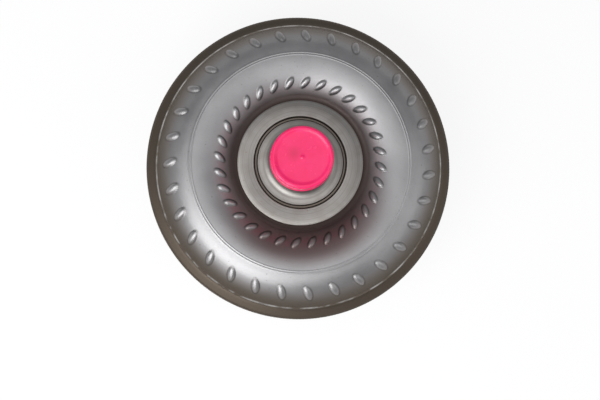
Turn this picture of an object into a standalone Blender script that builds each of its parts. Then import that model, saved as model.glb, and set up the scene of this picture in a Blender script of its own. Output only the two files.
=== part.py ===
"""Automatic-gearbox torque converter, 280 mm class, standing on its drive studs with the gearbox hub up."""

import math

import bmesh
import bpy
from mathutils import Matrix, Vector

MM = 0.001
DEG = math.pi / 180

# Gaps
SEAT = 0.3 * MM
RUNNING = 1.0 * MM

# One-way clutch and thrust bearings, from the gearbox's fixed shaft outwards
INNER_RACE = (16.3 * MM, 22 * MM)
ROLLERS = 8
ROLLER_RADIUS = 2.5 * MM
ROLLER_CIRCLE = INNER_RACE[1] + SEAT + ROLLER_RADIUS
CAM_LAND = ROLLER_CIRCLE - 0.6 * MM
CAM_DEPTH = ROLLER_CIRCLE + ROLLER_RADIUS + SEAT
CLUTCH_LIP = 1.7 * MM
CLUTCH_PLATE = 1.2 * MM
STATOR_RING = (CAM_DEPTH + 5.7 * MM, CAM_DEPTH + 17.4 * MM)
SNAP_RING = (STATOR_RING[0] - 1.3 * MM, STATOR_RING[0] + 1 * MM, 1.2 * MM)
BEARING_RADII = (STATOR_RING[0] + 1.7 * MM, STATOR_RING[1] - 1 * MM)
BEARING_RACE = 1.0 * MM
BEARING_NEEDLES = 12
NEEDLE_RADIUS = 1.1 * MM
BEARING_HEIGHT = 2 * BEARING_RACE + 2 * NEEDLE_RADIUS + 4 * SEAT

# Impeller shell: the radii between its bore and its rim keep their share of that width
MAX_RADIUS = 140 * MM
WELD_CROWN = 0.8 * MM
RIM_EDGE_RADIUS = MAX_RADIUS - WELD_CROWN
SHELL_SHEET = 3.5 * MM
SHELL_BORE_RADIUS = BEARING_RADII[1] + 2 * MM
SHOULDER_RADIUS = RIM_EDGE_RADIUS - 10.2 * MM
CREST_SHARE = 40 / 83
CREST_RADIUS = SHELL_BORE_RADIUS + CREST_SHARE * (SHOULDER_RADIUS - SHELL_BORE_RADIUS)
OUTER_ARC_SHARE = 44 / 43
OUTER_ARC = OUTER_ARC_SHARE * (SHOULDER_RADIUS - CREST_RADIUS)
INNER_ARC = 0.75 * (CREST_RADIUS - SHELL_BORE_RADIUS)
CREST_RISE = 0.75 * OUTER_ARC
HUB_SEAT_SHARE = 6 / 11
HUB_SEAT_RISE = HUB_SEAT_SHARE * CREST_RISE
CONE_ANGLE = 45 * DEG
VALLEY_SLOPE = 55 * DEG
VALLEY_RADIUS = CREST_RADIUS - INNER_ARC * math.sin(VALLEY_SLOPE)
VALLEY_RISE = CREST_RISE - HUB_SEAT_RISE - INNER_ARC * (1 - math.cos(VALLEY_SLOPE))
VALLEY_FILLET = VALLEY_RISE / (1 - math.cos(VALLEY_SLOPE))
VALLEY_START = VALLEY_RADIUS - VALLEY_FILLET * math.sin(VALLEY_SLOPE)

# Pressed pockets, the raised ovals on the shell
OUTER_POCKETS = 31
OUTER_POCKET_RADIUS = CREST_RADIUS + 0.686 * (SHOULDER_RADIUS - CREST_RADIUS)
OUTER_POCKET_SIZE = (5.9 * MM, 3.1 * MM, 2.0 * MM)
OUTER_POCKET_PHASE = 6.2 * DEG
OUTER_POCKET_SLANT = 15 * DEG
INNER_POCKETS = 32
INNER_POCKET_RADIUS = CREST_RADIUS - 0.483 * INNER_ARC
INNER_POCKET_SIZE = (5.3 * MM, 2.5 * MM, 1.6 * MM)
INNER_POCKET_PHASE = 8.0 * DEG
INNER_POCKET_SLANT = -28 * DEG

# Impeller hub
FLANGE_RADIUS = VALLEY_START - 2.2 * MM
FLANGE_THICKNESS = 6.2 * MM
TUBE_RADIUS = 25 * MM
TUBE_BORE = 21 * MM
TUBE_FILLET = 4 * MM
TUBE_LENGTH = 38.5 * MM
GROOVE_RADIUS = (TUBE_RADIUS + FLANGE_RADIUS) / 2
GROOVE_SIZE = (2.8 * MM, 1.5 * MM)
NOTCH_SIZE = (9 * MM, 8 * MM)

# Shipping cap
CAP_DEPTH = 16 * MM
CAP_WALL = 1.5 * MM
CAP_TOP = 1.7 * MM
CAP_EDGE = 3 * MM
CAP_LIP = 0.7 * MM
CAP_DISH = 0.6 * MM
GATE_RADIUS = 1.6 * MM

# Front cover and the weld that closes the housing
STUD_REACH = 20 * MM
COVER_SHEET = 5 * MM
COVER_CORNER = 12 * MM
COVER_STEP = 1.5 * MM
WELD_DROP = 5 * MM
WELD_DEPTH = 2.85 * MM
PILOT_RADIUS = 19 * MM
PILOT_REACH = 10.5 * MM
STUDS = 4
STUD_CIRCLE = MAX_RADIUS - 25 * MM
STUD_RADIUS = 4.8 * MM
STUD_COLLAR = (9 * MM, 3 * MM)
WEIGHT_SIZE = (16 * MM, 34 * MM, 2.4 * MM)

# Lock-up piston
PISTON_SHEET = 3 * MM
PISTON_RADIUS = RIM_EDGE_RADIUS - COVER_SHEET - 8.2 * MM
PISTON_TRAVEL = 1.0 * MM
LINING_SIZE = (PISTON_RADIUS - 18 * MM, PISTON_RADIUS - 2 * MM, 1.5 * MM)
PISTON_LUGS = 6
LUG_WIDTH = 9 * MM
LUG_SHEET = 2 * MM

# Damper
RETAINER_SHEET = 2 * MM
RETAINER_GAP = 2 * MM
RETAINER_RADIUS = LINING_SIZE[0] - 10 * MM
DRIVEN_PLATE = 3 * MM
DRIVEN_RADIUS = RETAINER_RADIUS - 4 * MM
STOP_PINS = 3
STOP_PIN_CIRCLE = RETAINER_RADIUS - 8 * MM
STOP_PIN_RADIUS = 3 * MM
SPRINGS = 6
SPRING_CIRCLE = STOP_PIN_CIRCLE - 15 * MM
SPRING_LENGTH = 0.44 * SPRING_CIRCLE
SPRING_RADIUS = 5.2 * MM
SPRING_WIRE = 1.1 * MM
SPRING_TURNS = 3
RETAINER_BORE = SPRING_CIRCLE - 15 * MM
DAMPER_TWIST = 6 * DEG

# Turbine hub
TURBINE_BORE = 12.5 * MM
SPLINES = 8
SPLINE_DEPTH = 1.2 * MM
NOSE_RADIUS = 20 * MM
WAIST_RADIUS = 26 * MM
TURBINE_FLANGE = STATOR_RING[1] + 9 * MM
TURBINE_FLANGE_THICKNESS = 5 * MM
RIVETS = 6
RIVET_CIRCLE = TURBINE_FLANGE - 4 * MM
RIVET_RADIUS = 2.4 * MM
WASHER_THICKNESS = 2.5 * MM

# Bladed rings
CORE_RADIUS = CREST_RADIUS + 0.16 * OUTER_ARC
CORE_ARC = 0.295 * OUTER_ARC
CORE_SHEET = 1.2 * MM
CORE_STEPS = 3
BLADE_SHEET = 1.2 * MM
TURBINE_BLADES = 29
TURBINE_DEPTH = 0.75 * OUTER_ARC
TURBINE_SHEET = 2.0 * MM
TURBINE_LIP_RADIUS = SHOULDER_RADIUS + 1.5 * MM
TURBINE_STEPS = 5
TAB_LENGTH = 5.0 * MM
TAB_DEPTH = 1.5 * MM
BLADE_CLEARANCE = 1.5 * MM

# Stator
STATOR_BLADES = 13
STATOR_HALF_HEIGHT = 11 * MM
SHROUD_HALF_HEIGHT = 6 * MM
SHROUD_OUTER = CORE_RADIUS - CORE_ARC - 7.5 * MM
STATOR_SHROUD = (SHROUD_OUTER - 2.5 * MM, SHROUD_OUTER)

# Facets round the axis
SHELL_FACETS = 32
HUB_FACETS = 24
SMALL_FACETS = 18
STUD_FACETS = 10
PIN_FACETS = 6

# Heights from the stud tips, one above the other
COVER_FACE = STUD_REACH
COVER_INSIDE = COVER_FACE + COVER_SHEET
CENTRE_FACE = COVER_FACE - COVER_STEP
CENTRE_INSIDE = COVER_INSIDE - COVER_STEP
COVER_STEP_RADIUS = LINING_SIZE[0] - 13 * MM
PILOT_END = CENTRE_FACE - PILOT_REACH
NOSE_END = CENTRE_INSIDE + WASHER_THICKNESS + 2 * SEAT
LINING_FACE = COVER_INSIDE + PISTON_TRAVEL + SEAT
PISTON_FACE = LINING_FACE + LINING_SIZE[2] + SEAT
PISTON_BACK = PISTON_FACE + PISTON_SHEET
FRONT_RETAINER = PISTON_BACK + 2 * RUNNING
DRIVEN_FACE = FRONT_RETAINER + RETAINER_SHEET + RETAINER_GAP
DRIVEN_BACK = DRIVEN_FACE + DRIVEN_PLATE
SPRING_HEIGHT = (DRIVEN_FACE + DRIVEN_BACK) / 2
REAR_RETAINER = DRIVEN_BACK + RETAINER_GAP
TORUS_HEIGHT = REAR_RETAINER + RETAINER_SHEET + 3.9 * MM + TURBINE_DEPTH
STATOR_TOP = TORUS_HEIGHT + STATOR_HALF_HEIGHT
STATOR_FLOOR = TORUS_HEIGHT - STATOR_HALF_HEIGHT
SPIGOT_FACE = STATOR_TOP + BEARING_HEIGHT
TURBINE_FLANGE_TOP = STATOR_FLOOR - BEARING_HEIGHT
TURBINE_SEAT = TURBINE_FLANGE_TOP - TURBINE_FLANGE_THICKNESS
RIM_HEIGHT = TORUS_HEIGHT + 3 * RUNNING
WELD_HEIGHT = RIM_HEIGHT - WELD_DROP
CREST_HEIGHT = RIM_HEIGHT + CREST_RISE
HUB_SEAT = RIM_HEIGHT + HUB_SEAT_RISE
FLANGE_TOP = HUB_SEAT + SEAT + FLANGE_THICKNESS
HUB_TOP = FLANGE_TOP + TUBE_LENGTH
CONE_START = CREST_RADIUS + OUTER_ARC * math.sin(CONE_ANGLE)
CONE_START_HEIGHT = CREST_HEIGHT - OUTER_ARC * (1 - math.cos(CONE_ANGLE))
SHOULDER_HEIGHT = CONE_START_HEIGHT - (SHOULDER_RADIUS - CONE_START) * math.tan(CONE_ANGLE)


def colour(code):
    """A hex colour as linear light."""
    channels = [int(code[i : i + 2], 16) / 255 for i in (0, 2, 4)]
    return [c / 12.92 if c <= 0.04045 else ((c + 0.055) / 1.055) ** 2.4 for c in channels] + [1]


def make_material(name, code, metallic, roughness):
    material = bpy.data.materials.new(name)
    material.use_nodes = True
    shader = material.node_tree.nodes["Principled BSDF"]
    shader.inputs["Base Color"].default_value = colour(code)
    shader.inputs["Metallic"].default_value = metallic
    shader.inputs["Roughness"].default_value = roughness
    return material


def make_object(name, mesh, material, body):
    """A named piece with its material, carried by the empty of its body."""
    if not mesh.materials:
        mesh.materials.append(material)
    piece = bpy.data.objects.new(name, mesh)
    bpy.context.scene.collection.objects.link(piece)
    piece.parent = body
    return piece


def finish_mesh(bm, name):
    """Merged, outward-facing and smooth where it is round."""
    bmesh.ops.remove_doubles(bm, verts=bm.verts, dist=0.001 * MM)
    bmesh.ops.recalc_face_normals(bm, faces=bm.faces)
    mesh = bpy.data.meshes.new(name)
    bm.to_mesh(mesh)
    bm.free()
    mesh.shade_smooth()
    mesh.set_sharp_from_angle(angle=35 * DEG)
    return mesh


def arc(centre, radius, start, end, steps):
    """Points of a circular arc in the radius-height plane, angles from the outward direction."""
    angles = [start + (end - start) * i / steps for i in range(steps + 1)]
    return [(centre[0] + radius * math.cos(a), centre[1] + radius * math.sin(a)) for a in angles]


def spun_mesh(name, outline, facets):
    """A closed outline in radius and height spun round the Z axis; an outline that starts and ends
    on the axis stays open there."""
    bm = bmesh.new()
    points = [bm.verts.new((radius, 0, height)) for radius, height in outline]
    edges = [bm.edges.new(pair) for pair in zip(points, points[1:])]
    if outline[0][0] > 0:
        edges.append(bm.edges.new((points[-1], points[0])))
    bmesh.ops.spin(bm, geom=points + edges, axis=(0, 0, 1), cent=(0, 0, 0),
                   angle=2 * math.pi, steps=facets, use_merge=True)
    return finish_mesh(bm, name)


def turned(name, outline, material, body, facets):
    return make_object(name, spun_mesh(name, outline, facets), material, body)


def ring(name, radii, heights, material, body, facets):
    """A plain flat ring."""
    inner, outer = radii
    low, high = heights
    outline = [(outer, high), (outer, low), (inner, low), (inner, high)]
    return turned(name, outline, material, body, facets)


def join(piece, other, operation):
    """A Boolean with a helper that isn't part of the object."""
    other.hide_render = True
    other.display_type = "WIRE"
    modifier = piece.modifiers.new(other.name, "BOOLEAN")
    modifier.operation = operation
    modifier.solver = "EXACT"
    modifier.object = other


def add_box(bm, size, place):
    """A box of full side lengths at a place given by a matrix."""
    made = bmesh.ops.create_cube(bm, size=1)
    scale = Matrix.Diagonal((*size, 1))
    bmesh.ops.transform(bm, matrix=place @ scale, verts=made["verts"])


def add_prism(bm, outline, place, low, high):
    """A closed outline in X and Y, extruded from one height to another."""
    rings = [[bm.verts.new(place @ Vector((x, y, z))) for x, y in outline] for z in (low, high)]
    bm.faces.new(rings[0][::-1])
    bm.faces.new(rings[1])
    for i in range(len(outline)):
        j = (i + 1) % len(outline)
        bm.faces.new((rings[0][i], rings[0][j], rings[1][j], rings[1][i]))


def add_round(bm, radius, place, low, high):
    """A small round bar along the place's Z axis, with a corner on its X axis."""
    corners = [2 * math.pi * i / PIN_FACETS for i in range(PIN_FACETS)]
    add_prism(bm, [(radius * math.cos(a), radius * math.sin(a)) for a in corners], place, low, high)


def helper(name, bm, body):
    return make_object(name, finish_mesh(bm, name), STEEL, body)


def turn(angle):
    return Matrix.Rotation(angle, 4, "Z")


def shell_slope(radius):
    """Tilt of the shell's outer face from level: negative towards the hub, positive towards the rim."""
    if radius < CREST_RADIUS:
        return -math.asin((CREST_RADIUS - radius) / INNER_ARC)
    return min(math.asin(min((radius - CREST_RADIUS) / OUTER_ARC, 1)), CONE_ANGLE)


def shell_height(radius):
    slope = shell_slope(radius)
    if radius < CREST_RADIUS:
        return CREST_HEIGHT - INNER_ARC * (1 - math.cos(slope))
    if radius < CONE_START:
        return CREST_HEIGHT - OUTER_ARC * (1 - math.cos(slope))
    return CONE_START_HEIGHT - (radius - CONE_START) * math.tan(CONE_ANGLE)


def under_shell(radius, depth):
    """The point at a depth square below the shell's outer face."""
    slope = shell_slope(radius)
    return (radius - depth * math.sin(slope), shell_height(radius) - depth * math.cos(slope))


BLADE_TWIST = (math.tan(OUTER_POCKET_SLANT) - math.tan(INNER_POCKET_SLANT)) / (
    OUTER_POCKET_RADIUS - INNER_POCKET_RADIUS
)
BLADE_LEAN = math.tan(OUTER_POCKET_SLANT) - BLADE_TWIST * OUTER_POCKET_RADIUS


def blade_angle(radius):
    """Where the curved blade stands at a radius. Its slant to the radial line changes evenly from the
    inner pockets' slant to the outer pockets'."""
    reach = OUTER_POCKET_RADIUS
    return BLADE_LEAN * math.log(radius / reach) + BLADE_TWIST * (radius - reach)


def on_shell(radius, angle, slant):
    """A place on the shell's face: X along the slanted pocket, Z straight out of the sheet."""
    slope = shell_slope(radius)
    along = Vector((1, math.tan(slant), -math.tan(slope))).normalized()
    out = Vector((math.sin(slope), 0, math.cos(slope)))
    axes = Matrix((along, out.cross(along), out)).transposed().to_4x4()
    return turn(angle) @ Matrix.Translation((radius, 0, shell_height(radius))) @ axes


def pocket_places(count, phase, radius, slant):
    return [on_shell(radius, phase + 2 * math.pi * i / count, slant) for i in range(count)]


def add_blister(bm, place, size):
    """A raised oval: a long four-sided foot in the sheet, closed to a ridge above it."""
    length, width, height = size
    foot = -0.35 * SHELL_SHEET
    corners = [(length, 0, foot), (-length, 0, foot), (0, width, foot), (0, -width, foot)]
    corners += [(x * length, 0, height) for x in (-0.4, 0.4)]
    points = [bm.verts.new(place @ Vector(c)) for c in corners]
    bmesh.ops.convex_hull(bm, input=points)


def make_impeller_shell(body):
    """Deep-drawn bowl with two rows of ovals pressed out for the blade tabs."""
    fillet_centre = (VALLEY_START, HUB_SEAT + VALLEY_FILLET)

    def face(depth, fine):
        hub_end = [(SHELL_BORE_RADIUS, HUB_SEAT - depth)]
        valley = arc(fillet_centre, VALLEY_FILLET + depth, -90 * DEG, VALLEY_SLOPE - 90 * DEG, fine)
        inner = [CREST_RADIUS - INNER_ARC * math.sin(VALLEY_SLOPE * (1 - i / (fine + 1)))
                 for i in range(1, fine + 2)]
        outer = [CREST_RADIUS + OUTER_ARC * math.sin(CONE_ANGLE * i / (fine + 2))
                 for i in range(1, fine + 3)]
        return hub_end + valley + [under_shell(r, depth) for r in inner + outer]

    band_top = (SHOULDER_RADIUS, SHOULDER_HEIGHT)
    band_foot = (RIM_EDGE_RADIUS - 0.8 * MM, RIM_HEIGHT - 1 * MM)
    lip = (RIM_EDGE_RADIUS, WELD_HEIGHT + WELD_DEPTH + SEAT)
    root = (RIM_EDGE_RADIUS - WELD_DEPTH, WELD_HEIGHT + SEAT)
    inner_lip = (RIM_EDGE_RADIUS - COVER_SHEET + 1 * MM, WELD_HEIGHT + SEAT)
    inner_band = (SHOULDER_RADIUS - 0.75 * SHELL_SHEET, SHOULDER_HEIGHT - 0.7 * SHELL_SHEET)
    outside = face(0, 2) + [band_top, band_foot, lip, root]
    inside = face(SHELL_SHEET, 1) + [inner_band, inner_lip]
    shell = turned("impeller_shell", (outside + inside[::-1])[::-1], SHELL_STEEL, body, SHELL_FACETS)

    blisters = bmesh.new()
    for place in pocket_places(OUTER_POCKETS, OUTER_POCKET_PHASE, OUTER_POCKET_RADIUS, OUTER_POCKET_SLANT):
        add_blister(blisters, place, OUTER_POCKET_SIZE)
    for place in pocket_places(INNER_POCKETS, INNER_POCKET_PHASE, INNER_POCKET_RADIUS, INNER_POCKET_SLANT):
        add_blister(blisters, place, INNER_POCKET_SIZE)
    join(shell, helper("pressed_blisters", blisters, body), "UNION")

    pockets = bmesh.new()
    depth = TAB_DEPTH + SEAT
    for place in pocket_places(OUTER_POCKETS, OUTER_POCKET_PHASE, OUTER_POCKET_RADIUS, OUTER_POCKET_SLANT):
        middle = Matrix.Translation((0, 0, -SHELL_SHEET + depth / 2 - RUNNING))
        size = (TAB_LENGTH + 4 * SEAT, BLADE_SHEET + 4 * SEAT, depth + 2 * RUNNING)
        add_box(pockets, size, place @ middle)
    join(shell, helper("tab_pockets", pockets, body), "DIFFERENCE")


def core_arc(height, start, end, radius):
    return arc((CORE_RADIUS, height), radius, start, end, CORE_STEPS)


def make_bladed_ring(name, count, phase, bend, shell_edge, core, core_inside, body):
    """Core ring with curved blades grown out of it. The edges are given in radius and height, and a
    blade's angle changes with the radius. Both faces of a blade are split the same way."""
    bm = bmesh.new()

    def line(outline, centre, side):
        angles = [centre + bend(r) + side * BLADE_SHEET / r for r, _ in outline]
        return [bm.verts.new((r * math.cos(a), r * math.sin(a), z)) for a, (r, z) in zip(angles, outline)]

    centres = [phase + 2 * math.pi * i / count for i in range(count)]
    edges = [[line(shell_edge, centre, side) for side in (-0.5, 0.5)] for centre in centres]
    feet = [[line(core, centre, side) for side in (-0.5, 0.5)] for centre in centres]
    inside = [line(core_inside, centre, 0) for centre in centres]
    steps = len(shell_edge) - 1
    core_steps = len(core) - 1
    for i in range(count):
        j = (i + 1) % count
        for edge, foot in zip(edges[i], feet[i]):
            up, down = 0, 0
            while up < steps or down < core_steps:
                on_edge = down == core_steps or (up < steps and (up + 1) * core_steps <= (down + 1) * steps)
                tip = edge[up + 1] if on_edge else foot[down + 1]
                bm.faces.new((edge[up], tip, foot[down]))
                up += on_edge
                down += not on_edge
        for k in range(steps):
            bm.faces.new((edges[i][0][k], edges[i][0][k + 1], edges[i][1][k + 1], edges[i][1][k]))
        for k in range(core_steps):
            bm.faces.new((feet[i][1][k], feet[i][1][k + 1], feet[j][0][k + 1], feet[j][0][k]))
            bm.faces.new((inside[i][k], inside[i][k + 1], inside[j][k + 1], inside[j][k]))
        for end in (0, -1):
            bm.faces.new((edges[i][0][end], edges[i][1][end], feet[i][1][end], feet[i][0][end]))
            bm.faces.new((feet[i][0][end], feet[i][1][end], feet[j][0][end], inside[j][end], inside[i][end]))
    make_object(name, finish_mesh(bm, name), BLADE_STEEL, body)


def make_impeller_blades(body):
    """Curved blades with the tabs that seat in the shell's outer pockets, brazed to the core ring."""
    clearance = SHELL_SHEET + BLADE_CLEARANCE
    half_tab = TAB_LENGTH / 2 * math.cos(CONE_ANGLE) * math.cos(OUTER_POCKET_SLANT)
    tab_radii = (OUTER_POCKET_RADIUS - half_tab, OUTER_POCKET_RADIUS + half_tab)
    starts = (CREST_RADIUS - 0.76 * INNER_ARC, CREST_RADIUS - 0.3 * INNER_ARC, CREST_RADIUS + 0.3 * OUTER_ARC)
    edge = [under_shell(r, clearance) for r in starts + tab_radii[:1]]
    edge += [under_shell(r, SHELL_SHEET - TAB_DEPTH) for r in tab_radii]
    edge += [under_shell(r, clearance) for r in (tab_radii[1], SHOULDER_RADIUS - 1 * MM)]
    edge += [(RIM_EDGE_RADIUS - 9 * MM, TORUS_HEIGHT + 2.5 * RUNNING)]
    base = TORUS_HEIGHT + RUNNING
    core = core_arc(base, 180 * DEG, 0, CORE_ARC)
    core_inside = core_arc(base, 180 * DEG, 0, CORE_ARC - CORE_SHEET)
    make_bladed_ring("impeller_blades", OUTER_POCKETS, OUTER_POCKET_PHASE, blade_angle, edge, core,
                     core_inside, body)


def make_impeller_hub(body):
    """Forged and ground drive tube with a turned flange that closes the shell."""
    tube_foot = TUBE_RADIUS + TUBE_FILLET
    fillet = arc((tube_foot, FLANGE_TOP + TUBE_FILLET), TUBE_FILLET, 180 * DEG, 270 * DEG, 2)
    groove_in = GROOVE_RADIUS - GROOVE_SIZE[0] / 2
    groove_out = GROOVE_RADIUS + GROOVE_SIZE[0] / 2
    groove_floor = FLANGE_TOP - GROOVE_SIZE[1]
    spigot = SHELL_BORE_RADIUS - SEAT
    race_seat = BEARING_RADII[1] / math.cos(math.pi / HUB_FACETS) + SEAT
    outline = [(TUBE_BORE, HUB_TOP), (TUBE_RADIUS, HUB_TOP)] + fillet
    outline += [(groove_in, FLANGE_TOP), (groove_in, groove_floor)]
    outline += [(groove_out, groove_floor), (groove_out, FLANGE_TOP)]
    outline += [(FLANGE_RADIUS - 1 * MM, FLANGE_TOP), (FLANGE_RADIUS, FLANGE_TOP - 1 * MM)]
    outline += [(FLANGE_RADIUS, HUB_SEAT + SEAT), (spigot, HUB_SEAT + SEAT)]
    outline += [(spigot, SPIGOT_FACE - BEARING_RACE), (race_seat, SPIGOT_FACE - BEARING_RACE)]
    outline += [(race_seat, SPIGOT_FACE), (TUBE_BORE, SPIGOT_FACE)]
    hub = turned("impeller_hub", outline, TURNED_STEEL, body, HUB_FACETS)
    notch = bmesh.new()
    width, depth = NOTCH_SIZE
    middle = Matrix.Translation((0, 0, HUB_TOP))
    add_box(notch, (4 * TUBE_RADIUS, width, 2 * depth), middle)
    join(hub, helper("drive_notches", notch, body), "DIFFERENCE")


def make_hub_weld(body):
    """Fillet weld between the hub's spigot and the underside of the shell."""
    corner = (SHELL_BORE_RADIUS, HUB_SEAT - SHELL_SHEET - SEAT)
    outline = [corner, (corner[0] + 3.5 * MM, corner[1]), (corner[0], corner[1] - 2.8 * MM)]
    turned("hub_weld", outline[::-1], WELD_STEEL, body, HUB_FACETS)


def make_front_cover(body):
    """Pressed engine-side cover: flat drive face, stepped centre and deep side wall."""
    wall_inside = RIM_EDGE_RADIUS - COVER_SHEET
    corner_in = COVER_CORNER - COVER_SHEET
    corner = (RIM_EDGE_RADIUS - COVER_CORNER, COVER_FACE + COVER_CORNER)
    step = COVER_STEP * 2
    outline = [(0, CENTRE_INSIDE), (COVER_STEP_RADIUS - step, CENTRE_INSIDE)]
    outline += [(COVER_STEP_RADIUS, COVER_INSIDE)]
    outline += arc(corner, corner_in, 270 * DEG, 360 * DEG, 2)
    outline += [(wall_inside, WELD_HEIGHT - SEAT), (RIM_EDGE_RADIUS - WELD_DEPTH, WELD_HEIGHT - SEAT)]
    outline += [(RIM_EDGE_RADIUS, WELD_HEIGHT - WELD_DEPTH - SEAT)]
    outline += arc(corner, COVER_CORNER, 0, -90 * DEG, 3)
    outline += [(COVER_STEP_RADIUS, COVER_FACE), (COVER_STEP_RADIUS - step, CENTRE_FACE), (0, CENTRE_FACE)]
    turned("front_cover", outline, SHELL_STEEL, body, SHELL_FACETS)


def make_closure_weld(body):
    """Bead that joins the cover to the impeller shell all round."""
    apex = RIM_EDGE_RADIUS - WELD_DEPTH + 2 * SEAT
    shoulder = WELD_DEPTH - SEAT
    outline = [(apex, WELD_HEIGHT), (MAX_RADIUS - 0.35 * MM, WELD_HEIGHT + shoulder),
               (MAX_RADIUS, WELD_HEIGHT), (MAX_RADIUS - 0.35 * MM, WELD_HEIGHT - shoulder)]
    turned("closure_weld", outline, WELD_STEEL, body, SHELL_FACETS)


def make_pilot(body):
    """Centring boss that runs in the end of the crankshaft."""
    top = CENTRE_FACE - SEAT
    outline = [(0, top), (PILOT_RADIUS + 3 * MM, top), (PILOT_RADIUS + 3 * MM, top - 2 * MM)]
    outline += [(PILOT_RADIUS, top - 2 * MM), (PILOT_RADIUS, PILOT_END + 1.5 * MM)]
    outline += [(PILOT_RADIUS - 1.5 * MM, PILOT_END), (0, PILOT_END)]
    turned("pilot_boss", outline[::-1], TURNED_STEEL, body, SMALL_FACETS)


def make_studs(body):
    """Drive studs for the engine's flex plate."""
    collar, thick = STUD_COLLAR
    top = COVER_FACE - SEAT
    outline = [(0, top), (collar, top), (collar, top - thick), (STUD_RADIUS, top - thick)]
    outline += [(STUD_RADIUS, 0), (0, 0)]
    mesh = spun_mesh("drive_stud", outline[::-1], STUD_FACETS)
    for i in range(STUDS):
        stud = make_object(f"drive_stud_{i + 1}", mesh, STEEL, body)
        angle = 2 * math.pi * i / STUDS
        stud.location = (STUD_CIRCLE * math.cos(angle), STUD_CIRCLE * math.sin(angle), 0)


def make_balance_weight(body):
    """Flat steel plate tacked to the drive face between two studs."""
    bm = bmesh.new()
    height = COVER_FACE - SEAT - WEIGHT_SIZE[2] / 2
    add_box(bm, WEIGHT_SIZE, turn(math.pi / STUDS) @ Matrix.Translation((STUD_CIRCLE, 0, height)))
    make_object("balance_weight", finish_mesh(bm, "balance_weight"), STEEL, body)


def make_cap(body):
    """Moulded push-on cap over the hub's end: dished top, round edge, small gate mark."""
    bore = TUBE_RADIUS + SEAT
    wall = bore + CAP_WALL
    inside = HUB_TOP + SEAT
    top = inside + CAP_TOP
    foot = HUB_TOP - CAP_DEPTH
    dish = top - CAP_DISH
    ridge = wall - CAP_EDGE
    outline = [(0, dish + 0.5 * MM), (GATE_RADIUS, dish), (ridge - 2 * MM, dish)]
    outline += arc((ridge, top - CAP_EDGE), CAP_EDGE, 90 * DEG, 0, 3)
    outline += [(wall, foot + 2.5 * MM), (wall + CAP_LIP, foot + 1.5 * MM), (wall + CAP_LIP, foot)]
    outline += [(bore, foot), (bore, inside), (0, inside)]
    turned("shipping_cap", outline, CAP_PLASTIC, body, HUB_FACETS)


def turbine_face(depth):
    """Underside of the turbine bowl from its flat hub seat to its outer lip, at a depth inside it."""
    half_width = (TURBINE_LIP_RADIUS - TURBINE_FLANGE) / 2
    centre = TURBINE_FLANGE + half_width
    lip = TORUS_HEIGHT - RUNNING
    points = []
    for i in range(TURBINE_STEPS + 1):
        a = math.pi + (90 * DEG) * (0.45 + 1.55 * i / TURBINE_STEPS)
        radius = centre + (half_width - depth) * math.cos(a)
        points.append((radius, lip + (TURBINE_DEPTH - RUNNING - depth) * math.sin(a)))
    return points


def make_turbine(body):
    """Bowl, blades and riveted hub that drive the gearbox's input shaft."""
    seat = TURBINE_SEAT - SEAT
    below = turbine_face(0)
    above = turbine_face(TURBINE_SHEET)
    outline = [(WAIST_RADIUS + 2 * MM, seat - TURBINE_SHEET), (TURBINE_FLANGE, seat - TURBINE_SHEET)]
    outline += below + above[::-1] + [(TURBINE_FLANGE + 1 * MM, seat), (WAIST_RADIUS + 2 * MM, seat)]
    shell = turned("turbine_shell", outline, BLADE_STEEL, body, HUB_FACETS)

    edge = turbine_face(TURBINE_SHEET + BLADE_CLEARANCE)[1:]
    base = TORUS_HEIGHT - RUNNING
    core = core_arc(base, 180 * DEG, 360 * DEG, CORE_ARC)
    core_inside = core_arc(base, 180 * DEG, 360 * DEG, CORE_ARC - CORE_SHEET)
    make_bladed_ring("turbine_blades", TURBINE_BLADES, 0, lambda r: -blade_angle(r), edge, core,
                     core_inside, body)

    outline = [(TURBINE_BORE, TURBINE_FLANGE_TOP), (TURBINE_FLANGE, TURBINE_FLANGE_TOP)]
    outline += [(TURBINE_FLANGE, TURBINE_SEAT), (WAIST_RADIUS, TURBINE_SEAT)]
    outline += [(WAIST_RADIUS, DRIVEN_BACK + SEAT), (NOSE_RADIUS, DRIVEN_BACK + SEAT)]
    outline += [(NOSE_RADIUS, NOSE_END), (TURBINE_BORE, NOSE_END)]
    hub = turned("turbine_hub", outline, TURNED_STEEL, body, SMALL_FACETS)
    cut_splines(hub, TURBINE_BORE, (NOSE_END, TURBINE_FLANGE_TOP), body)
    holes = bmesh.new()
    for i in range(RIVETS):
        place = turn(2 * math.pi * i / RIVETS) @ Matrix.Translation((RIVET_CIRCLE, 0, 0))
        add_round(holes, RIVET_RADIUS + SEAT, place, TURBINE_SEAT - 3 * TURBINE_SHEET,
                  TURBINE_FLANGE_TOP + TURBINE_SHEET)
    rivet_holes = helper("rivet_holes", holes, body)
    join(hub, rivet_holes, "DIFFERENCE")
    join(shell, rivet_holes, "DIFFERENCE")
    make_rivets(body)


def make_rivets(body):
    """Headed rivets through the turbine bowl and its hub's flange."""
    top = TURBINE_FLANGE_TOP + SEAT
    bottom = TURBINE_SEAT - TURBINE_SHEET - 2 * SEAT
    head = 1.6 * RIVET_RADIUS
    outline = [(0, top + 1.6 * MM), (head, top), (RIVET_RADIUS, top)]
    outline += [(RIVET_RADIUS, bottom), (head, bottom), (0, bottom - 1.6 * MM)]
    mesh = spun_mesh("turbine_rivet", outline, PIN_FACETS)
    for i in range(RIVETS):
        rivet = make_object(f"turbine_rivet_{i + 1}", mesh, STEEL, body)
        angle = 2 * math.pi * i / RIVETS
        rivet.location = (RIVET_CIRCLE * math.cos(angle), RIVET_CIRCLE * math.sin(angle), 0)
        rivet.rotation_euler = (0, 0, angle)


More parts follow.
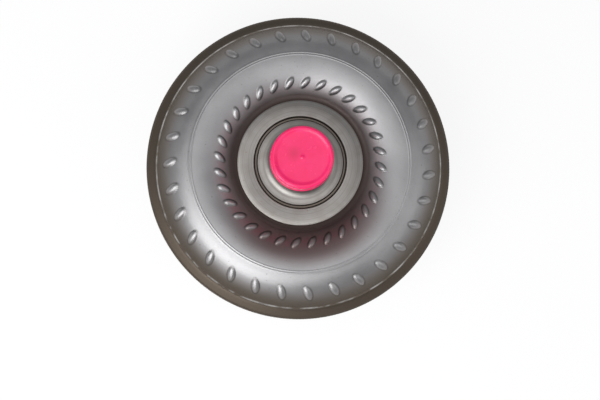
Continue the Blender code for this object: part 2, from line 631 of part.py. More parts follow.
def cut_splines(piece, bore, heights, body):
    """Straight splines broached in a bore."""
    bm = bmesh.new()
    low, high = heights
    width = math.pi * bore / SPLINES
    for i in range(SPLINES):
        place = turn(2 * math.pi * i / SPLINES) @ Matrix.Translation((bore, 0, (low + high) / 2))
        add_box(bm, (2 * SPLINE_DEPTH, width, high - low + 4 * MM), place)
    join(piece, helper(piece.name + "_broach", bm, body), "DIFFERENCE")


def spring_window_cutter(name, low, high, body):
    """Straight slots for the damper springs."""
    bm = bmesh.new()
    size = (2 * (SPRING_RADIUS + SPRING_WIRE) + 2 * RUNNING, SPRING_LENGTH + 4 * SEAT, high - low)
    for i in range(SPRINGS):
        place = turn(2 * math.pi * i / SPRINGS) @ Matrix.Translation((SPRING_CIRCLE, 0, (low + high) / 2))
        add_box(bm, size, place)
    return helper(name, bm, body)


def make_driven_plate(body):
    """Damper's inner plate, fixed on the turbine hub's nose. Three notches in its edge stop the twist."""
    plate = ring("damper_driven_plate", (NOSE_RADIUS + SEAT, DRIVEN_RADIUS), (DRIVEN_FACE, DRIVEN_BACK),
                 STEEL, body, HUB_FACETS)
    join(plate, spring_window_cutter("driven_windows", DRIVEN_FACE - RUNNING, DRIVEN_BACK + RUNNING, body),
         "DIFFERENCE")
    notches = bmesh.new()
    reach = STOP_PIN_RADIUS + SEAT
    half = DAMPER_TWIST + math.asin(reach / STOP_PIN_CIRCLE)
    inner = STOP_PIN_CIRCLE - reach - SEAT
    outer = (DRIVEN_RADIUS + RUNNING) / math.cos(half)
    outline = [(inner * math.cos(a), inner * math.sin(a)) for a in (-half, 0, half)]
    outline += [(outer * math.cos(a), outer * math.sin(a)) for a in (half, -half)]
    for i in range(STOP_PINS):
        add_prism(notches, outline[::-1], stop_place(i), DRIVEN_FACE - RUNNING, DRIVEN_BACK + RUNNING)
    join(plate, helper("stop_notches", notches, body), "DIFFERENCE")


def stop_place(i):
    return turn(2 * math.pi * i / STOP_PINS + math.pi / SPRINGS)


def lug_place(i):
    return turn(2 * math.pi * i / PISTON_LUGS) @ Matrix.Translation((RETAINER_RADIUS, 0, 0))


def lug_notch_cutter(low, high, body):
    """Notches in the retainer's edge that take the piston's lugs."""
    bm = bmesh.new()
    size = (2 * (LUG_SHEET + 2 * SEAT), LUG_WIDTH + 4 * SEAT, high - low + 2 * RUNNING)
    for i in range(PISTON_LUGS):
        add_box(bm, size, lug_place(i) @ Matrix.Translation((0, 0, (low + high) / 2)))
    return helper("lug_notches", bm, body)


def make_damper(body):
    """Two retainers held together by stop pins, with the coil springs in their windows."""
    heights = {"front": FRONT_RETAINER, "rear": REAR_RETAINER}
    for name, low in heights.items():
        high = low + RETAINER_SHEET
        plate = ring(f"{name}_spring_retainer", (RETAINER_BORE, RETAINER_RADIUS), (low, high),
                     STEEL, body, HUB_FACETS)
        join(plate, spring_window_cutter(f"{name}_windows", low - RUNNING, high + RUNNING, body),
             "DIFFERENCE")
        if name == "front":
            join(plate, lug_notch_cutter(low, high, body), "DIFFERENCE")
    for i in range(STOP_PINS):
        bm = bmesh.new()
        low = FRONT_RETAINER + RETAINER_SHEET + SEAT
        high = REAR_RETAINER - SEAT
        place = stop_place(i) @ Matrix.Translation((STOP_PIN_CIRCLE, 0, 0))
        add_round(bm, STOP_PIN_RADIUS, place, low, high)
        make_object(f"stop_pin_{i + 1}", finish_mesh(bm, "stop_pin"), STEEL, body)
    for i in range(SPRINGS):
        make_spring(i, body)


def make_spring(i, body):
    """One coil spring lying along its window."""
    curve = bpy.data.curves.new(f"damper_spring_{i + 1}", "CURVE")
    curve.dimensions = "3D"
    curve.bevel_depth = SPRING_WIRE
    curve.bevel_resolution = 0
    curve.use_fill_caps = True
    steps = SPRING_TURNS * 6
    spline = curve.splines.new("POLY")
    spline.points.add(steps)
    length = SPRING_LENGTH - 2 * SPRING_WIRE
    for k, point in enumerate(spline.points):
        a = 2 * math.pi * SPRING_TURNS * k / steps
        along = length * (k / steps - 0.5)
        point.co = (SPRING_RADIUS * math.cos(a), along, SPRING_RADIUS * math.sin(a), 1)
    spring = make_object(f"damper_spring_{i + 1}", curve, SPRING_STEEL, body)
    angle = 2 * math.pi * i / SPRINGS
    spring.location = (SPRING_CIRCLE * math.cos(angle), SPRING_CIRCLE * math.sin(angle), SPRING_HEIGHT)
    spring.rotation_euler = (0, 0, angle)


def make_piston(body):
    """Sheet piston with bent-up drive lugs and a bonded friction ring."""
    lip = PISTON_BACK + 4 * MM
    outline = [(NOSE_RADIUS + SEAT, PISTON_BACK), (NOSE_RADIUS + SEAT, PISTON_FACE)]
    outline += [(PISTON_RADIUS, PISTON_FACE), (PISTON_RADIUS, lip), (PISTON_RADIUS - PISTON_SHEET, lip)]
    outline += [(PISTON_RADIUS - PISTON_SHEET, PISTON_BACK)]
    piston = turned("lockup_piston", outline, BLADE_STEEL, body, HUB_FACETS)
    lugs = bmesh.new()
    low = PISTON_BACK - RUNNING
    high = FRONT_RETAINER + RETAINER_SHEET + RUNNING
    for i in range(PISTON_LUGS):
        middle = Matrix.Translation((-LUG_SHEET / 2 + SEAT, 0, (low + high) / 2))
        add_box(lugs, (LUG_SHEET, LUG_WIDTH, high - low), lug_place(i) @ middle)
    join(piston, helper("piston_lugs", lugs, body), "UNION")
    inner, outer, thick = LINING_SIZE
    ring("friction_lining", (inner, outer), (LINING_FACE, LINING_FACE + thick), LINING, body, HUB_FACETS)


def make_stator(body):
    """Cast wheel that turns the oil back into the impeller, with its one-way clutch."""
    low = STATOR_FLOOR
    high = STATOR_TOP
    inner, outer = STATOR_RING
    snap_in, snap_out, snap_thick = SNAP_RING
    snap_low = high - 1 * MM - snap_thick - 2 * SEAT
    groove = snap_out + SEAT
    bottom_lip = CAM_LAND + 1 * MM
    outline = [(inner, high), (outer, high), (outer, low), (bottom_lip, low)]
    outline += [(bottom_lip, low + CLUTCH_LIP), (inner, low + CLUTCH_LIP), (inner, snap_low)]
    outline += [(groove, snap_low), (groove, snap_low + snap_thick + 2 * SEAT)]
    outline += [(inner, snap_low + snap_thick + 2 * SEAT)]
    wheel = turned("stator_wheel", outline, CAST_ALUMINIUM, body, SMALL_FACETS)
    blades = bmesh.new()
    for i in range(STATOR_BLADES):
        add_stator_blade(blades, 2 * math.pi * i / STATOR_BLADES)
    join(wheel, helper("stator_blades", blades, body), "UNION")
    shroud_heights = (TORUS_HEIGHT - SHROUD_HALF_HEIGHT, TORUS_HEIGHT + SHROUD_HALF_HEIGHT)
    shroud = ring("stator_shroud", STATOR_SHROUD, shroud_heights, CAST_ALUMINIUM, body, HUB_FACETS)
    join(wheel, shroud, "UNION")

    cam_low = low + CLUTCH_LIP + SEAT
    plate_low = snap_low - CLUTCH_PLATE
    cam_high = plate_low - SEAT
    make_cam_race(cam_low, cam_high, body)
    ring("clutch_side_plate", (CAM_LAND, inner - SEAT), (plate_low, plate_low + CLUTCH_PLATE), STEEL,
         body, SMALL_FACETS)
    make_snap_ring(snap_low + SEAT, body)
    for i in range(ROLLERS):
        make_roller(i, cam_low + RUNNING, cam_high - RUNNING, body)


def add_stator_blade(bm, angle):
    """A cambered aerofoil from the wheel's ring to its shroud, tapering in height."""
    inner = STATOR_RING[1] - 1 * MM
    outer = STATOR_SHROUD[0] + 1 * MM
    sections = []
    for radius, half in ((inner, STATOR_HALF_HEIGHT - 0.5 * MM), (outer, SHROUD_HALF_HEIGHT - 0.5 * MM)):
        camber = 0.7 * half
        shape = [(-camber, -half), (0.6 * MM, -0.35 * half), (camber, half), (camber - 1 * MM, half)]
        shape += [(-2.8 * MM, -0.2 * half), (-camber - 2.4 * MM, -0.85 * half)]
        sections.append([bm.verts.new(turn(angle) @ Vector((radius, t, TORUS_HEIGHT + z))) for t, z in shape])
    count = len(sections[0])
    bm.faces.new(sections[0])
    bm.faces.new(sections[1][::-1])
    for i in range(count):
        j = (i + 1) % count
        bm.faces.new((sections[0][j], sections[0][i], sections[1][i], sections[1][j]))


def make_cam_race(low, high, body):
    """Outer race with a ramped pocket for each roller."""
    pitch = 2 * math.pi / ROLLERS
    outer = STATOR_RING[0] * math.cos(math.pi / SMALL_FACETS) - SEAT
    bm = bmesh.new()
    rim = []
    cam = []
    for i in range(ROLLERS):
        for share, radius in ((-0.30, CAM_LAND), (-0.26, CAM_DEPTH + 0.8 * MM), (0.16, CAM_DEPTH), (0.20, CAM_LAND)):
            a = pitch * (i + share)
            cam.append((radius * math.cos(a), radius * math.sin(a)))
            rim.append((outer * math.cos(a), outer * math.sin(a)))
    rings = {}
    for name, outline in (("rim", rim), ("cam", cam)):
        for level, z in (("low", low), ("high", high)):
            rings[name, level] = [bm.verts.new((x, y, z)) for x, y in outline]
    count = len(rim)
    for k in range(count):
        n = (k + 1) % count
        for first, second in ((("rim", "low"), ("rim", "high")), (("rim", "high"), ("cam", "high")),
                              (("cam", "high"), ("cam", "low")), (("cam", "low"), ("rim", "low"))):
            bm.faces.new((rings[first][k], rings[first][n], rings[second][n], rings[second][k]))
    make_object("clutch_cam_race", finish_mesh(bm, "clutch_cam_race"), TURNED_STEEL, body)


def make_snap_ring(low, body):
    """Open ring that keeps the clutch in the stator."""
    inner, outer, thick = SNAP_RING
    snap = ring("stator_snap_ring", (inner, outer), (low, low + thick), SPRING_STEEL, body, SMALL_FACETS)
    bm = bmesh.new()
    add_box(bm, (10 * MM, 5 * MM, 4 * thick), Matrix.Translation((-outer, 0, low)))
    join(snap, helper("snap_ring_gap", bm, body), "DIFFERENCE")


def make_roller(i, low, high, body):
    bm = bmesh.new()
    add_round(bm, ROLLER_RADIUS, Matrix.Identity(4), low, high)
    roller = make_object(f"clutch_roller_{i + 1}", finish_mesh(bm, "clutch_roller"), TURNED_STEEL, body)
    angle = 2 * math.pi * i / ROLLERS
    roller.location = (ROLLER_CIRCLE * math.cos(angle), ROLLER_CIRCLE * math.sin(angle), 0)
    roller.rotation_euler = (0, 0, angle)


def make_inner_race(body):
    """Splined race that stands on the gearbox's fixed support shaft."""
    low = STATOR_FLOOR + SEAT
    high = STATOR_TOP - 3 * MM
    race = ring("stator_inner_race", INNER_RACE, (low, high), TURNED_STEEL, body, SMALL_FACETS)
    cut_splines(race, INNER_RACE[0], (low, high), body)


def make_bearing(name, low, upper_body, cage_body, lower_body):
    """Thrust bearing: lower race, the ridged ring of needles in their cage, upper race."""
    needles_low = low + BEARING_RACE + SEAT
    upper = needles_low + 2 * NEEDLE_RADIUS + SEAT
    ring(f"{name}_lower_race", BEARING_RADII, (low, low + BEARING_RACE), TURNED_STEEL, lower_body, SMALL_FACETS)
    ring(f"{name}_upper_race", BEARING_RADII, (upper, upper + BEARING_RACE), TURNED_STEEL, upper_body,
         SMALL_FACETS)
    inner, outer = BEARING_RADII
    radii = (inner + NEEDLE_RADIUS / 2, outer - NEEDLE_RADIUS / 2)
    bm = bmesh.new()
    stations = []
    for i in range(2 * BEARING_NEEDLES):
        half = NEEDLE_RADIUS if i % 2 else 0.4 * NEEDLE_RADIUS
        corners = [(radii[0], -half), (radii[1], -half), (radii[1], half), (radii[0], half)]
        place = turn(math.pi * i / BEARING_NEEDLES)
        middle = needles_low + NEEDLE_RADIUS
        stations.append([bm.verts.new(place @ Vector((r, 0, middle + z))) for r, z in corners])
    for here, there in zip(stations, stations[1:] + stations[:1]):
        for k in range(4):
            n = (k + 1) % 4
            bm.faces.new((here[k], there[k], there[n], here[n]))
    make_object(f"{name}_needles", finish_mesh(bm, f"{name}_needles"), STEEL, cage_body)


def make_thrust_washer(body):
    """Plain washer between the turbine hub's nose and the cover."""
    low = CENTRE_INSIDE + SEAT
    ring("cover_thrust_washer", (TURBINE_BORE + 1 * MM, NOSE_RADIUS), (low, low + WASHER_THICKNESS), WASHER,
         body, SMALL_FACETS)


def make_body(name, parent=None):
    """Empty on the axis that carries one moving group."""
    body = bpy.data.objects.new(name, None)
    bpy.context.scene.collection.objects.link(body)
    body.parent = parent
    return body


for old in list(bpy.data.objects):
    bpy.data.objects.remove(old)

SHELL_STEEL = make_material("drawn_shell_steel", "A9A6A4", 1.0, 0.42)
TURNED_STEEL = make_material("turned_hub_steel", "B4B0AA", 1.0, 0.3)
WELD_STEEL = make_material("weld_bead", "6E675F", 1.0, 0.5)
STEEL = make_material("plain_steel", "9A9A9C", 1.0, 0.4)
BLADE_STEEL = make_material("pressed_sheet_steel", "A2A2A0", 1.0, 0.45)
SPRING_STEEL = make_material("spring_wire", "5A5C60", 1.0, 0.35)
CAST_ALUMINIUM = make_material("cast_aluminium", "C4C6C8", 1.0, 0.5)
LINING = make_material("friction_paper", "6B4A32", 0.0, 0.85)
WASHER = make_material("bronze_washer", "B08D57", 1.0, 0.4)
CAP_PLASTIC = make_material("cap_plastic", "F54B79", 0.0, 0.3)

housing = make_body("housing")
cap = make_body("shipping_cap_group", housing)
turbine = make_body("turbine_group", housing)
damper = make_body("damper_group", turbine)
piston = make_body("piston_group", damper)
fixed_race = make_body("inner_race_group", housing)
stator = make_body("stator_group", fixed_race)
rear_needles = make_body("rear_needle_group", housing)
front_needles = make_body("front_needle_group", housing)

make_impeller_shell(housing)
make_impeller_blades(housing)
make_impeller_hub(housing)
make_hub_weld(housing)
make_front_cover(housing)
make_closure_weld(housing)
make_pilot(housing)
make_studs(housing)
make_balance_weight(housing)
make_thrust_washer(housing)
make_cap(cap)
make_turbine(turbine)
make_driven_plate(turbine)
make_damper(damper)
make_piston(piston)
make_inner_race(fixed_race)
make_stator(stator)
make_bearing("rear_bearing", STATOR_TOP + SEAT, housing, rear_needles, stator)
make_bearing("front_bearing", TURBINE_FLANGE_TOP + SEAT, stator, front_needles, turbine)
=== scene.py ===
"""Looks of the torque converter: its surfaces and materials, the floor, the light and the camera."""

import bpy
import numpy as np
from mathutils import Matrix, Vector


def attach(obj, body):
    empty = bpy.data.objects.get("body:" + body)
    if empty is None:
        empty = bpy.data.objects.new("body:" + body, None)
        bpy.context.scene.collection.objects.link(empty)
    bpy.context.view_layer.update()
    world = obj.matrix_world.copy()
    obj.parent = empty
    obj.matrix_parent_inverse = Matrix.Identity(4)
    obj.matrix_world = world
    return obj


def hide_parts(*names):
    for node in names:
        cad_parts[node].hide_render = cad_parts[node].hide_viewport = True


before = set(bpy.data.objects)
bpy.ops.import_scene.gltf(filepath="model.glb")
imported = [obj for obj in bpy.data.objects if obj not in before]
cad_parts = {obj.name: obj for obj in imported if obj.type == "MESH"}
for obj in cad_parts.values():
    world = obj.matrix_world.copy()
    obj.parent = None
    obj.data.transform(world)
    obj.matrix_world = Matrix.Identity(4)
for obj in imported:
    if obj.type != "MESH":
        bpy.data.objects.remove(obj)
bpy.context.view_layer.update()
MM = 0.001


# Engine-side cover
# A deep bowl pressed from 5 mm steel sheet, with a stepped centre and a machined drive face.
# The drawn wall is satin and lightly oiled; its edge carries the weld to the impeller shell.

def linear(code):
    """A colour written as sRGB hex, as the linear values that the shader takes."""
    values = np.array([int(code[i:i + 2], 16) for i in (0, 2, 4)]) / 255
    curve = np.where(values <= 0.04045, values / 12.92, ((values + 0.055) / 1.055) ** 2.4)
    return (*curve, 1.0)


def add_node(tree, kind, inputs=None, **settings):
    """Adds a shader node. Settings are its own properties; inputs fills its sockets by name or number,
    each with a plain value or with another node's output."""
    made = tree.nodes.new("ShaderNode" + kind)
    for name, value in settings.items():
        setattr(made, name, value)
    for name, value in (inputs or {}).items():
        if isinstance(value, bpy.types.NodeSocket):
            tree.links.new(value, made.inputs[name])
        else:
            made.inputs[name].default_value = value
    return made


def start_material(name, metallic, roughness, **sockets):
    """A material with a Principled shader, its node tree and its Object coordinates in metres."""
    material = bpy.data.materials.new(name)
    material.use_nodes = True
    tree = material.node_tree
    shader = tree.nodes["Principled BSDF"]
    shader.inputs["Metallic"].default_value = metallic
    shader.inputs["Roughness"].default_value = roughness
    for socket, value in sockets.items():
        shader.inputs[socket.replace("_", " ")].default_value = value
    place = add_node(tree, "TexCoord").outputs["Object"]
    return material, tree, shader, place


def noise(tree, vector, size, detail=3, roughness=0.55):
    """Cloudy noise whose blotches are about this size in metres."""
    return add_node(tree, "TexNoise", {"Vector": vector, "Scale": 1 / size, "Detail": detail,
                                       "Roughness": roughness}).outputs["Fac"]


def stretch(tree, place, factors):
    """Coordinates multiplied along each axis. A pattern is drawn out along an axis whose factor is small."""
    return add_node(tree, "VectorMath", {0: place, 1: factors}, operation="MULTIPLY").outputs["Vector"]


def combine(tree, operation, first, second):
    """Two values, plain or from other nodes, put through one Math operation."""
    return add_node(tree, "Math", {0: first, 1: second}, operation=operation).outputs["Value"]


def ramp(tree, value, low, high, first, last):
    """A value's stretch from low to high, turned into first to last and held there."""
    return add_node(tree, "MapRange", {"Value": value, "From Min": low, "From Max": high,
                                       "To Min": first, "To Max": last}).outputs["Result"]


def blend(tree, factor, first, second):
    """Two colours, each a linear colour or another node's output, mixed by a factor."""
    mix = add_node(tree, "Mix", data_type="RGBA", clamp_factor=True)
    for index, value in ((0, factor), (6, first), (7, second)):
        if isinstance(value, bpy.types.NodeSocket):
            tree.links.new(value, mix.inputs[index])
        else:
            mix.inputs[index].default_value = value
    return mix.outputs[2]


def bump(tree, shader, height, depth):
    """Raises the surface by a height from 0 to 1 times a depth in metres."""
    normal = add_node(tree, "Bump", {"Height": height, "Distance": depth, "Strength": 1.0})
    tree.links.new(normal.outputs["Normal"], shader.inputs["Normal"])


def make_mesh(name, points, closed_rows, caps=()):
    """A grid of points, rows by columns by 3, as one smooth surface. Each row's last point joins its
    first. The last row joins the first where closed_rows is true; caps names the end rows (0 or -1)
    that shrink to a point and are closed with triangles onto their middle."""
    rows, columns = points.shape[:2]
    index = np.arange(rows * columns).reshape(rows, columns)
    below = np.roll(index, -1, axis=0) if closed_rows else index[1:]
    here = index if closed_rows else index[:-1]
    quads = np.stack([here, np.roll(here, -1, axis=1), np.roll(below, -1, axis=1), below], axis=-1)
    vertices = points.reshape(-1, 3)
    faces = quads.reshape(-1, 4).tolist()
    for end in caps:
        middle = len(vertices)
        vertices = np.vstack([vertices, points[end].mean(axis=0)])
        edge = index[end]
        pair = (np.roll(edge, -1), edge) if end == 0 else (edge, np.roll(edge, -1))
        faces += np.stack([pair[0], pair[1], np.full(columns, middle)], axis=-1).tolist()
    mesh = bpy.data.meshes.new(name)
    mesh.from_pydata(vertices.tolist(), [], faces)
    mesh.polygons.foreach_set("use_smooth", np.ones(len(mesh.polygons), bool))
    mesh.update()
    return mesh


def spin(outline, columns):
    """Outline points spun round the Z axis: x is radius times the angle's cosine, y radius times its sine."""
    angle = 2 * np.pi * np.arange(columns) / columns
    radius, height = outline[:, :1], outline[:, 1:]
    return np.stack([radius * np.cos(angle), radius * np.sin(angle), height + 0 * angle], axis=-1)


def arc(centre, radius, start, end, steps):
    """Points of a circular arc in the radius-height plane, angles in degrees from the outward direction."""
    angle = np.radians(np.linspace(start, end, steps + 1))
    return np.stack([centre[0] + radius * np.cos(angle), centre[1] + radius * np.sin(angle)], axis=-1)


def path(*parts):
    """Outline pieces, each a radius and height in millimetres, joined into one list in metres."""
    return np.vstack([np.atleast_2d(part) for part in parts]) * MM


def crisp(outline, sharp=40, hold=0.12):
    """Outline with a close pair of points at each corner sharper than so many degrees, so that smooth
    shading keeps the corner tight. hold is the pair's distance from the corner in millimetres; a corner
    with a side too short for it is left as it is."""
    back = np.roll(outline, 1, axis=0) - outline
    ahead = np.roll(outline, -1, axis=0) - outline
    back_length = np.linalg.norm(back, axis=1)
    ahead_length = np.linalg.norm(ahead, axis=1)
    cosine = (back * ahead).sum(axis=1) / (back_length * ahead_length)
    roomy = np.minimum(back_length, ahead_length) >= 2.5 * hold * MM
    corner = roomy & (cosine >= -np.cos(np.radians(sharp)))
    trio = np.stack([outline + back / back_length[:, None] * hold * MM, outline,
                     outline + ahead / ahead_length[:, None] * hold * MM], axis=1)
    return trio[np.stack([corner, np.ones(len(outline), bool), corner], axis=1)]


def place_piece(name, mesh, material, body, nodes):
    """Puts a finished piece into the scene: it rides on a body and stands for the nodes it replaces."""
    piece = bpy.data.objects.new(name, mesh)
    bpy.context.scene.collection.objects.link(piece)
    mesh.materials.append(material)
    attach(piece, body)
    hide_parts(*nodes)


# The inside from the middle to the rim, then the outside back down the wall and across the drive face.
cover_outline = path(
    (0.001, 23.5), (89, 23.5), (92, 23.5), (95, 25), arc((127.2, 32), 7, 270, 360, 8), (134.2, 55),
    (134.2, 78.7), (136.35, 78.7), (139.2, 75.85), (139.2, 60), (139.2, 45),
    arc((127.2, 32), 12, 0, -90, 16), (118, 20), (108, 20), arc((96.2, 21), 1.0, 270, 215, 3),
    arc((91.2, 17.5), 1.0, 35, 90, 3), (80, 18.5), (50, 18.5), (0.001, 18.5),
)[::-1]

# Satin grey, clouded by a thin film of oil, with upright streaks from the drawing die and fine dark pits.
cover_steel, tree, shader, place = start_material("drawn steel sheet, oiled", 1.0, 0.4)
cloud = noise(tree, place, 22 * MM, 4)
grain = noise(tree, place, 0.9 * MM, 2, 0.7)
streaks = noise(tree, stretch(tree, place, (1, 1, 0.04)), 1.6 * MM, 3)
pits = noise(tree, place, 1.6 * MM, 1)
tone = blend(tree, ramp(tree, cloud, 0.3, 0.75, 0, 0.5), linear("868584"), linear("A09F9E"))
tone = blend(tree, ramp(tree, streaks, 0.3, 0.7, 0, 0.5), tone, linear("A09F9E"))
tone = blend(tree, ramp(tree, pits, 0.70, 0.78, 0, 0.45), tone, linear("5A4A3E"))
tree.links.new(tone, shader.inputs["Base Color"])
rough = combine(tree, "ADD", ramp(tree, cloud, 0.3, 0.7, 0.36, 0.46),
                ramp(tree, grain, 0.3, 0.7, -0.04, 0.05))
tree.links.new(rough, shader.inputs["Roughness"])
bump(tree, shader, grain, 0.02 * MM)
place_piece("engine_cover", make_mesh("engine_cover", spin(crisp(cover_outline), 256), False, (0, -1)),
            cover_steel, "housing", ["front_cover"])


# Pilot boss, studs and balance weight
# The boss is turned and pressed home in the middle of the cover. Four plated studs with an M10 thread
# are projection-welded to its drive face, and a small steel plate is tacked on to balance the whole.

def radius_from_axis(tree, place):
    """Distance from the turning axis, in metres."""
    flat = stretch(tree, place, (1, 1, 0))
    return add_node(tree, "VectorMath", {0: flat}, operation="LENGTH").outputs["Value"]


def tool_marks(tree, radius, width, detail):
    """Noise along the radius alone, which makes concentric rings about this wide in metres."""
    return add_node(tree, "TexNoise", {"W": radius, "Scale": 1 / width, "Detail": detail},
                    noise_dimensions="1D").outputs["Fac"]


def run_round(tree, shader):
    """Stretches the shader's anisotropic gloss across marks that run round the Z axis."""
    tangent = add_node(tree, "Tangent", direction_type="RADIAL", axis="Z").outputs["Tangent"]
    tree.links.new(tangent, shader.inputs["Tangent"])


def mottle(tree, shader, pattern, tones, roughness, low=0.35):
    """Colour and roughness that both follow a noise pattern: from the first tone and roughness, where
    the noise is low, to the second."""
    tone = blend(tree, ramp(tree, pattern, low, 0.7, 0, 1), linear(tones[0]), linear(tones[1]))
    tree.links.new(tone, shader.inputs["Base Color"])
    tree.links.new(ramp(tree, pattern, 0.3, 0.7, *roughness), shader.inputs["Roughness"])


boss_outline = path(
    (0.001, 18.2), (21.7, 18.2), (22, 17.9), (22, 16.6), (21.6, 16.2), (19.6, 16.2), (19.0, 15.6),
    (19.0, 9.6), (18.7, 9.1), (17.7, 8.1), (17.3, 8.0), (6, 8.0), (0.001, 8.0),
)

# Bright fine rings from the lathe, dulled in places by brown rust.
boss_steel, tree, shader, place = start_material("turned steel, dry, with a little rust", 1.0, 0.34,
                                                 Anisotropic=0.4)
marks = tool_marks(tree, radius_from_axis(tree, place), 0.5 * MM, 2)
rust = ramp(tree, noise(tree, place, 5 * MM, 4, 0.65), 0.56, 0.72, 0, 0.8)
tone = blend(tree, ramp(tree, marks, 0.3, 0.7, 0, 1), linear("8F8C88"), linear("ABA8A3"))
tree.links.new(blend(tree, rust, tone, linear("7A4E33")), shader.inputs["Base Color"])
tree.links.new(ramp(tree, rust, 0, 0.8, 0.30, 0.7), shader.inputs["Roughness"])
run_round(tree, shader)
bump(tree, shader, marks, 0.012 * MM)
place_piece("centring_boss", make_mesh("centring_boss", spin(crisp(boss_outline), 128), False, (0, -1)),
            boss_steel, "housing", ["pilot_boss"])

# Pale grey plating with a faint yellow cast, duller in patches.
plated_steel, tree, shader, place = start_material("zinc-plated steel, dulled", 1.0, 0.38)
mottle(tree, shader, noise(tree, place, 3 * MM, 3), ("9A9A94", "B8B6A8"), (0.32, 0.48))
bump(tree, shader, noise(tree, place, 0.3 * MM, 2), 0.008 * MM)

# The thread is a radius that swings once a pitch, shifted by one pitch per turn. It fades out towards the
# foot, and a chamfer cuts it at the free end. The shank's rows lie 0.15 mm apart, ten to a pitch.
STUD_CIRCLE, STUD_RADIUS = 115 * MM, 4.8 * MM
THREAD_PITCH, THREAD_DEPTH, THREAD_END, THREAD_FADE = 1.5 * MM, 0.8 * MM, 14.5 * MM, 1.5 * MM
CHAMFER_RADIUS, END_RADIUS, SHANK_TOP = 3.7 * MM, 3.5 * MM, 15.85 * MM
foot_rows = path((0.001, 19.7), (8.7, 19.7), (9.0, 19.4), (9.0, 17.3), (8.6, 16.7), (6.2, 16.7),
                 (5.3, 16.4), (4.9, 15.9))
shank_height = np.arange(15.8, 0.04, -0.15) * MM
stud_height = np.concatenate([foot_rows[:, 1], shank_height, [0.0, 0.0]])[:, None]
stud_limit = np.concatenate([foot_rows[:, 0], np.minimum(STUD_RADIUS, CHAMFER_RADIUS + shank_height),
                             [END_RADIUS, 0.001 * MM]])[:, None]
turn = 2 * np.pi * np.arange(48) / 48
swing = np.abs(((stud_height / THREAD_PITCH - turn / (2 * np.pi)) % 1) * 2 - 1)
cut = THREAD_DEPTH * swing * np.clip((THREAD_END - stud_height) / THREAD_FADE, 0, 1)
stud_radius = np.where(stud_height > SHANK_TOP, stud_limit, np.minimum(stud_limit, STUD_RADIUS - cut))
for number in range(4):
    spot = STUD_CIRCLE * np.array([np.cos(np.pi / 2 * number), np.sin(np.pi / 2 * number)])
    stud_points = np.stack([spot[0] + stud_radius * np.cos(turn), spot[1] + stud_radius * np.sin(turn),
                            stud_height + 0 * turn], axis=-1)
    stud_name = f"threaded_stud_{number + 1}"
    place_piece(stud_name, make_mesh(stud_name, stud_points, False, (0, -1)), plated_steel, "housing",
                [f"drive_stud_{number + 1}"])

# The plate's plan is a rounded rectangle: cosine and sine raised to a small power, which squares a circle.
# Its rows are insets at rising heights that follow a small rounding at both faces.
PLATE_HALF_LENGTH, PLATE_HALF_WIDTH, SQUARENESS = 17 * MM, 8 * MM, 0.28
corner = 2 * np.pi * (np.arange(96) + 0.5) / 96
circle = np.stack([np.cos(corner), np.sin(corner)], axis=-1)
plan = np.sign(circle) * np.abs(circle) ** SQUARENESS
inset = np.array([7.9, 1.5, 0.35, 0.1, 0, 0, 0.1, 0.35, 1.5, 7.9]) * MM
level = np.array([19.7, 19.7, 19.65, 19.5, 19.3, 17.7, 17.5, 17.35, 17.3, 17.3]) * MM
length_inset = inset[:, None] * PLATE_HALF_LENGTH / PLATE_HALF_WIDTH
long_way = (PLATE_HALF_LENGTH - length_inset) * plan[:, 1]
short_way = (PLATE_HALF_WIDTH - inset[:, None]) * plan[:, 0] + STUD_CIRCLE
plate_points = np.stack([(short_way - long_way) * np.sqrt(0.5), (short_way + long_way) * np.sqrt(0.5),
                         level[:, None] + 0 * corner], axis=-1)

# Dark mill finish with faint lines along the rolling direction and brown rust in patches.
plate_steel, tree, shader, place = start_material("cold-rolled steel, bare, rust at its edges", 1.0, 0.45)
roll = noise(tree, stretch(tree, place, (0.2, 1, 1)), 1.2 * MM, 3)
rust = ramp(tree, noise(tree, place, 6 * MM, 4, 0.65), 0.5, 0.68, 0, 0.85)
tone = blend(tree, ramp(tree, roll, 0.3, 0.7, 0, 1), linear("7E7C79"), linear("949290"))
tree.links.new(blend(tree, rust, tone, linear("6E452E")), shader.inputs["Base Color"])
tree.links.new(ramp(tree, rust, 0, 0.85, 0.4, 0.75), shader.inputs["Roughness"])
bump(tree, shader, roll, 0.015 * MM)
place_piece("balance_plate", make_mesh("balance_plate", plate_points, False, (0, -1)), plate_steel,
            "housing", ["balance_weight"])


# Thrust washer, lock-up piston and its lining
# A bronze washer lies on the cover. The piston is pressed sheet steel, dished to clear the damper, and
# a ring of brown paper lining is bonded to it where it meets the cover.

def dress(material, *nodes):
    """Gives CAD nodes that keep their shape a finished material."""
    for node in nodes:
        for material_slot in bpy.data.objects[node].material_slots:
            material_slot.material = material


# Warm yellow-brown metal, polished in patches where it has run.
bronze, tree, shader, place = start_material("bearing bronze, run in", 1.0, 0.32)
mottle(tree, shader, noise(tree, place, 4 * MM, 3), ("9C7440", "C29A5C"), (0.25, 0.45))
bump(tree, shader, noise(tree, place, 0.4 * MM, 2), 0.01 * MM)
dress(bronze, "cover_thrust_washer")

# Soft grey with wide clouds, under a clear wet film that adds a sharp highlight.
pressed_steel, tree, shader, place = start_material("pressed sheet steel, wet with fluid", 1.0, 0.36,
                                                    Coat_Weight=0.3, Coat_Roughness=0.1)
mottle(tree, shader, noise(tree, place, 15 * MM, 4), ("82807C", "9A9894"), (0.30, 0.46))
bump(tree, shader, noise(tree, place, 0.7 * MM, 2), 0.015 * MM)
dress(pressed_steel, "lockup_piston")

